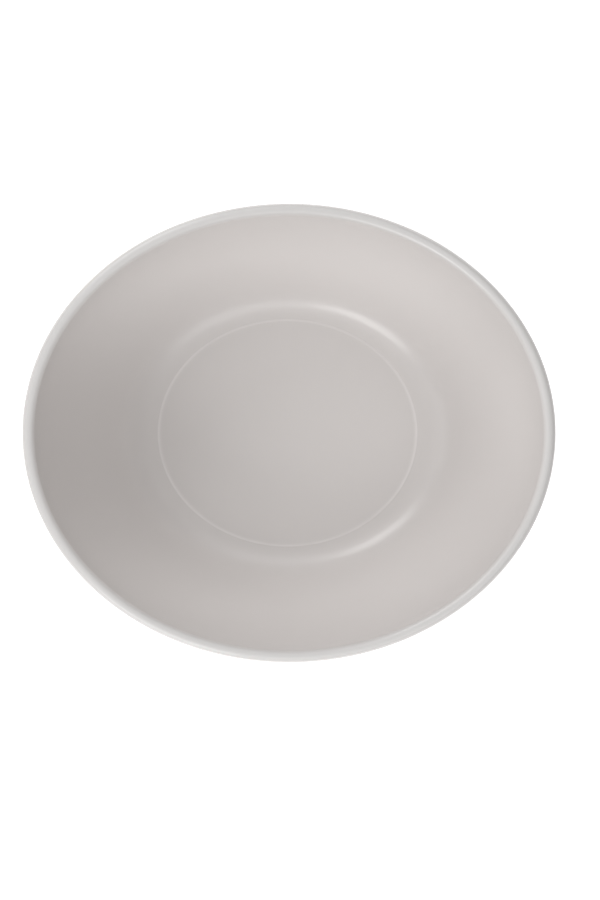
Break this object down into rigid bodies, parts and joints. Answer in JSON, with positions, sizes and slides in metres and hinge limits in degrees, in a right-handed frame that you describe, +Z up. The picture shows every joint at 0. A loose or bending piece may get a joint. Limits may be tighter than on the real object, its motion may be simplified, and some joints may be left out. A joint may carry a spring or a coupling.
{
  "type": "oval serving bowl",
  "caption": "Deep oval bowl with a flat ringed floor, a smooth flaring wall, an even rounded lip and a low foot ring, for serving chips or dip.",
  "frame": {"origin": "centre of the plane that the foot ring stands on", "axes": "+Z up through the open top, X along the bowl's long side, Y along its short side"},
  "size_m": [0.24, 0.2064, 0.0985],
  "materials": {
    "satin_glaze": "satin, warm light grey off-white"
  },
  "bodies": {
    "root": {"bowl": "satin_glaze"}
  },
  "joints": []
}
